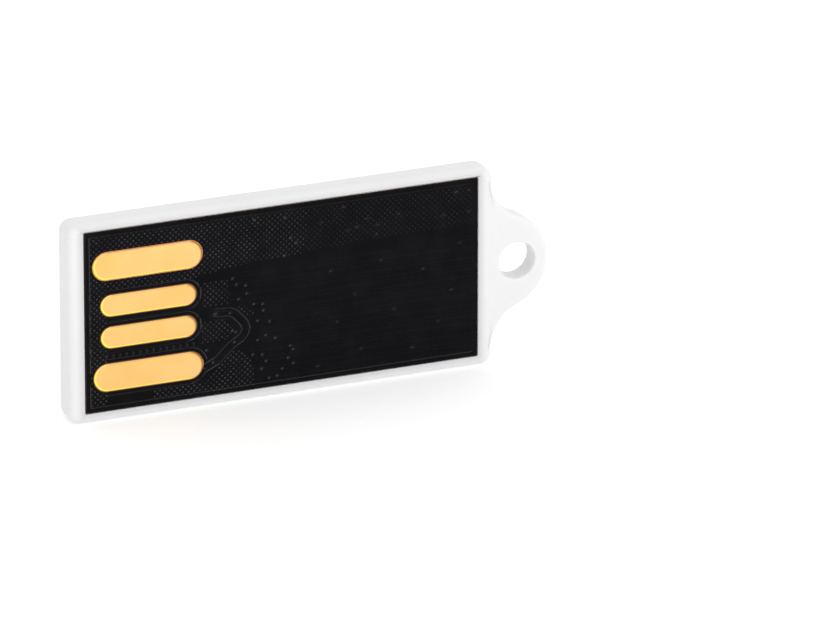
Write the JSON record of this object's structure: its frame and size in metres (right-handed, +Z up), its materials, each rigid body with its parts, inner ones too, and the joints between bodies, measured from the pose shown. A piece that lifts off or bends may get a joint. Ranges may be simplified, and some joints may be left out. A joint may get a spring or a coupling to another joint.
{
  "type": "usb flash drive",
  "caption": "Slim capless memory stick: a white moulded tray with a key loop holds a flat black contact module with gold pads.",
  "frame": {"origin": "under the middle of the overall box, on the surface that the stick's lower long edge stands on", "axes": "+X from the contact end to the key loop, -Y out of the contact side, +Y out of the plain rear side, +Z up across the stick's width"},
  "size_m": [0.0304, 0.0022, 0.0125],
  "materials": {
    "white_plastic": "satin moulded plastic",
    "adhesive": "soft bonding film",
    "mould_compound": "matt black epoxy",
    "board_core": "sawn glass-epoxy",
    "solder_mask": "satin black solder mask",
    "gold": "satin gold plating",
    "copper": "copper",
    "silicon": "polished silicon",
    "die_film": "die attach film",
    "gold_wire": "drawn gold wire",
    "ceramic": "fired ceramic",
    "resistor_body": "glazed black ceramic",
    "lid_metal": "satin metal lid",
    "solder": "tinned"
  },
  "bodies": {
    "root": {"tray": "white_plastic", "module_adhesive": "adhesive", "mould_body": "mould_compound", "substrate_board": "board_core", "contact_side_mask": "solder_mask", "component_side_mask": "solder_mask", "contact_vbus": "gold", "contact_data_minus": "gold", "contact_data_plus": "gold", "contact_ground": "gold", "power_trace": "copper", "data_minus_trace": "copper", "data_plus_trace": "copper", "ground_plane": "copper", "via_barrels": "copper", "flash_die_film_lower": "die_film", "flash_die_film_upper": "die_film", "controller_die_film": "die_film", "flash_die_lower": "silicon", "flash_die_upper": "silicon", "controller_die": "silicon", "flash_bond_wires": "gold_wire", "controller_bond_wires": "gold_wire", "bond_fingers": "gold", "crystal_base": "ceramic", "crystal_lid": "lid_metal", "component_lands": "solder", "capacitor_1": "ceramic", "capacitor_2": "ceramic", "capacitor_3": "ceramic", "capacitor_4": "ceramic", "capacitor_5": "ceramic", "capacitor_6": "ceramic", "resistor_1": "resistor_body", "resistor_2": "resistor_body", "resistor_3": "resistor_body", "resistor_4": "resistor_body"}
  },
  "joints": []
}
